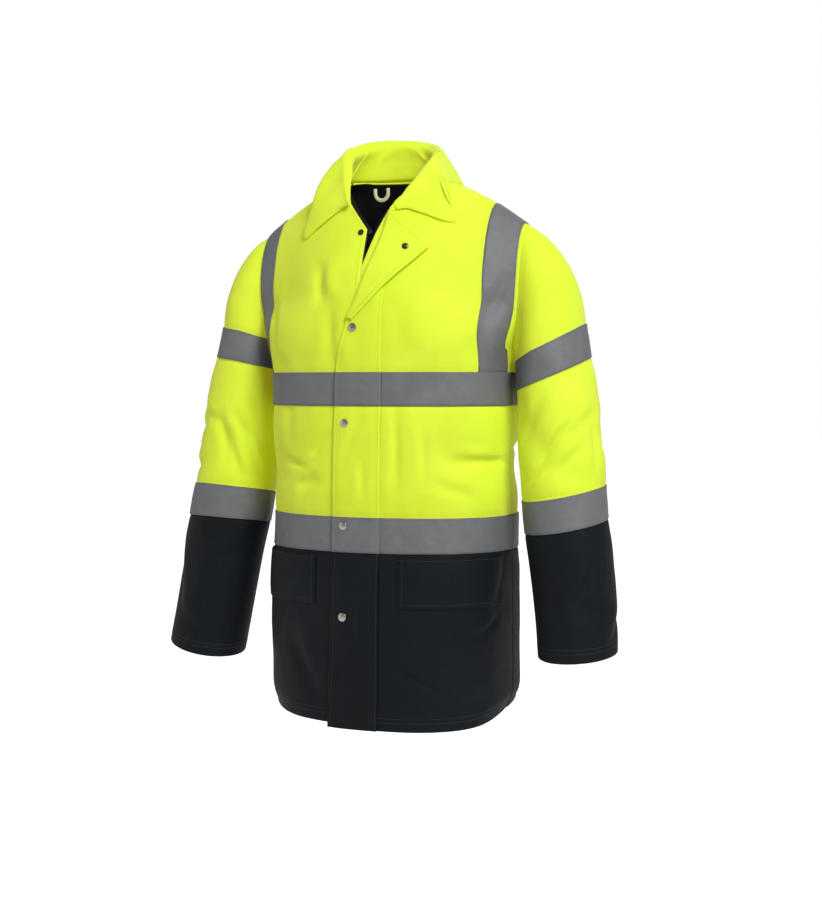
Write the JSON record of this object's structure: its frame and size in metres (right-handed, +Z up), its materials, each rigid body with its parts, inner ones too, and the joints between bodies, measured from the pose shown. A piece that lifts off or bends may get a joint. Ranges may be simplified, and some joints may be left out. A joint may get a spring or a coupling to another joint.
{
  "type": "high-visibility work jacket",
  "caption": "Padded high-visibility work jacket in yellow and dark cloth with reflective bands, a fold-over collar and a storm flap whose top is turned back.",
  "frame": {"origin": "midway between the two shoulder seams, level with where the collar fall meets the shoulders, on the line that a wearer carries the jacket by", "axes": "+X to the wearer's left, -Y out of the front, +Z up towards the collar"},
  "size_m": [0.7188, 0.3005, 0.8845],
  "materials": {
    "hi_vis_cloth": "fluorescent yellow coated polyester, slightly sheened",
    "dark_cloth": "very dark navy coated polyester, slightly sheened",
    "reflective_tape": "silver grey retroreflective glass-bead tape, satin",
    "lining": "black lining, soft sheen",
    "snap_metal": "dull plated press studs",
    "loop_tape": "pale woven tape, matt"
  },
  "bodies": {
    "root": {"front_right_upper": "hi_vis_cloth", "front_right_lower": "dark_cloth", "front_left_upper": "hi_vis_cloth", "front_left_lower": "dark_cloth", "back_upper": "hi_vis_cloth", "back_lower": "dark_cloth", "sleeve_right_upper": "hi_vis_cloth", "sleeve_right_lower": "dark_cloth", "sleeve_left_upper": "hi_vis_cloth", "sleeve_left_lower": "dark_cloth", "chest_tape_front_right": "reflective_tape", "chest_tape_front_left": "reflective_tape", "chest_tape_back": "reflective_tape", "waist_tape_front_right": "reflective_tape", "waist_tape_front_left": "reflective_tape", "waist_tape_back": "reflective_tape", "sleeve_tape_right_upper": "reflective_tape", "sleeve_tape_right_lower": "reflective_tape", "sleeve_tape_left_upper": "reflective_tape", "sleeve_tape_left_lower": "reflective_tape", "brace_tape_right": "reflective_tape", "brace_tape_left": "reflective_tape", "pocket_flap_right": "dark_cloth", "pocket_flap_left": "dark_cloth", "lining_front_right": "lining", "lining_front_left": "lining", "lining_back": "lining", "collar": "hi_vis_cloth", "storm_flap_upper": "hi_vis_cloth", "storm_flap_lower": "dark_cloth", "storm_flap_lapel": "hi_vis_cloth", "chest_tape_flap": "reflective_tape", "waist_tape_flap": "reflective_tape", "snap_cap_1": "snap_metal", "snap_cap_2": "snap_metal", "snap_cap_3": "snap_metal", "snap_cap_4": "snap_metal", "snap_socket_lapel": "snap_metal", "snap_post_front": "snap_metal", "hanger_loop": "loop_tape"}
  },
  "joints": []
}
